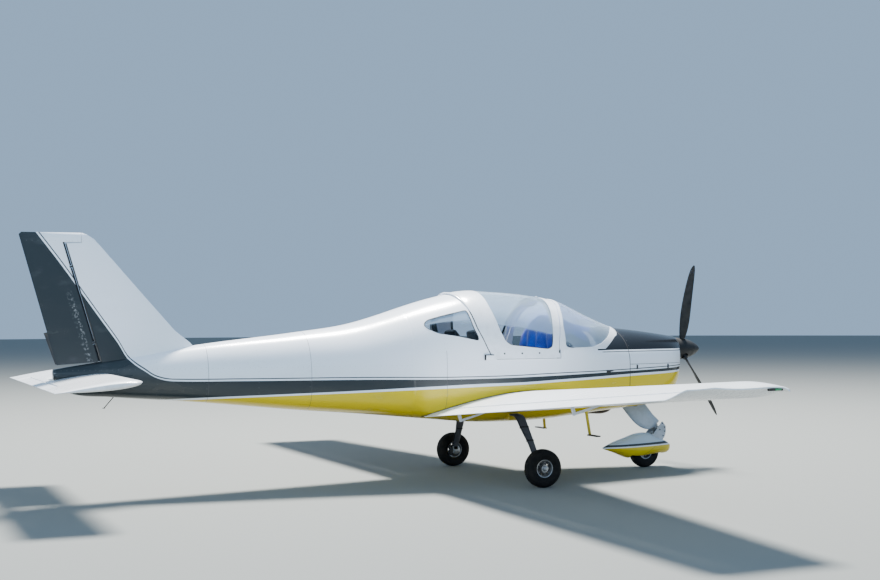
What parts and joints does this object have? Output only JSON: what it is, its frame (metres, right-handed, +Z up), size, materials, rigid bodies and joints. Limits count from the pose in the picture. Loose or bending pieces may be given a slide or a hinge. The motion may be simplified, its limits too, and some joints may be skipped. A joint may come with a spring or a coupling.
{
  "type": "two-seat low-wing light aircraft",
  "caption": "Light aircraft with a low tapered wing, sliding canopy, all-moving tailplane, tractor propeller and fixed tricycle gear",
  "frame": {"origin": "on the ground, midway along the length and on the middle line", "axes": "+X forward to the spinner, +Y to the left wing, +Z up"},
  "size_m": [6.6059, 8.6, 2.2],
  "materials": {
    "white_paint": "gloss",
    "yellow_paint": "gloss",
    "grey_paint": "satin",
    "black_paint": "satin",
    "blade_black": "satin",
    "aluminium": "satin",
    "leg_steel": "satin",
    "engine_iron": "matte",
    "tyre_rubber": "matte",
    "dark_fabric": "matte",
    "blue_cover": "matte",
    "clear_glass": "gloss"
  },
  "bodies": {
    "airframe": {"cabin_shell": "white_paint", "tail_cone": "white_paint", "cowl_upper": "black_paint", "cowl_lower": "yellow_paint", "firewall": "aluminium", "engine_block": "engine_iron", "windscreen_frame": "white_paint", "windscreen_glass": "clear_glass", "rear_window_left": "clear_glass", "rear_window_right": "clear_glass", "seat_left": "dark_fabric", "seat_right": "dark_fabric", "instrument_panel": "blue_cover", "fin": "white_paint", "wing_left": "white_paint", "wing_right": "white_paint", "wing_tip_left": "white_paint", "wing_tip_right": "white_paint", "main_leg_left": "leg_steel", "main_leg_right": "leg_steel", "nose_leg": "white_paint", "step_left": "yellow_paint", "step_right": "yellow_paint"},
    "canopy": {"canopy_frame": "white_paint", "canopy_glass": "clear_glass"},
    "rudder_body": {"rudder": "grey_paint"},
    "stabilator_body": {"stabilator": "white_paint"},
    "tab_body": {"stabilator_tab": "white_paint"},
    "flap_body_left": {"flap_left": "white_paint"},
    "flap_body_right": {"flap_right": "white_paint"},
    "aileron_body_left": {"aileron_left": "white_paint"},
    "aileron_body_right": {"aileron_right": "white_paint"},
    "main_wheel_left": {"main_tyre_left": "tyre_rubber", "main_rim_left": "aluminium"},
    "main_wheel_right": {"main_tyre_right": "tyre_rubber", "main_rim_right": "aluminium"},
    "steered_fork": {"nose_fork": "aluminium", "nose_spat": "yellow_paint"},
    "nose_wheel": {"nose_tyre": "tyre_rubber", "nose_rim": "aluminium"},
    "propeller_body": {"propeller": "blade_black", "spinner": "blade_black"}
  },
  "joints": [
    {"name": "propeller_spin", "type": "hinge", "parent": "airframe", "child": "propeller_body", "pos_m": [3.0795, 0, 1.165], "axis": [1, 0, 0], "continuous": true},
    {"name": "main_wheel_left_spin", "type": "hinge", "parent": "airframe", "child": "main_wheel_left", "pos_m": [0.9875, 0.9375, 0.168], "axis": [0, 1, 0], "continuous": true},
    {"name": "main_wheel_right_spin", "type": "hinge", "parent": "airframe", "child": "main_wheel_right", "pos_m": [0.9875, -0.9375, 0.168], "axis": [0, 1, 0], "continuous": true},
    {"name": "nose_steering", "type": "hinge", "parent": "airframe", "child": "steered_fork", "pos_m": [2.7575, 0, 0.37], "axis": [-0.7071, 0, 0.7071], "range_deg": [-15, 15]},
    {"name": "nose_wheel_spin", "type": "hinge", "parent": "steered_fork", "child": "nose_wheel", "pos_m": [2.6375, 0, 0.155], "axis": [0, 1, 0], "continuous": true},
    {"name": "rudder_hinge", "type": "hinge", "parent": "airframe", "child": "rudder_body", "pos_m": [-2.6745, 0, 1.132], "axis": [-0.282, 0, 0.9594], "range_deg": [-30, 30]},
    {"name": "stabilator_hinge", "type": "hinge", "parent": "airframe", "child": "stabilator_body", "pos_m": [-2.7425, 0, 1.012], "axis": [0, 1, 0], "range_deg": [0, 18]},
    {"name": "tab_hinge", "type": "hinge", "parent": "stabilator_body", "child": "tab_body", "pos_m": [-3.1175, 0, 0.97057], "axis": [0, 1, 0], "range_deg": [-12, 12]},
    {"name": "aileron_left_hinge", "type": "hinge", "parent": "airframe", "child": "aileron_body_left", "pos_m": [0.2575, 2.756, 0.86133], "axis": [0, 0.9957, 0.0921], "range_deg": [-18, 18]},
    {"name": "aileron_right_hinge", "type": "hinge", "parent": "airframe", "child": "aileron_body_right", "pos_m": [0.2575, -2.756, 0.86133], "axis": [0, 0.9957, -0.0921], "range_deg": [-18, 18]},
    {"name": "flap_left_hinge", "type": "hinge", "parent": "airframe", "child": "flap_body_left", "pos_m": [0.2775, 0.76, 0.59622], "axis": [0, -0.9956, -0.0936], "range_deg": [0, 35]},
    {"name": "flap_right_hinge", "type": "hinge", "parent": "airframe", "child": "flap_body_right", "pos_m": [0.2775, -0.76, 0.59622], "axis": [0, -0.9956, 0.0936], "range_deg": [0, 35]},
    {"name": "canopy_slide", "type": "slide", "parent": "airframe", "child": "canopy", "axis": [-1, 0, 0], "range_m": [0, 0.55]}
  ],
  "couplings": [
    {"joint": "aileron_right_hinge", "follows": "aileron_left_hinge", "ratio": -1},
    {"joint": "flap_right_hinge", "follows": "flap_left_hinge", "ratio": 1}
  ]
}
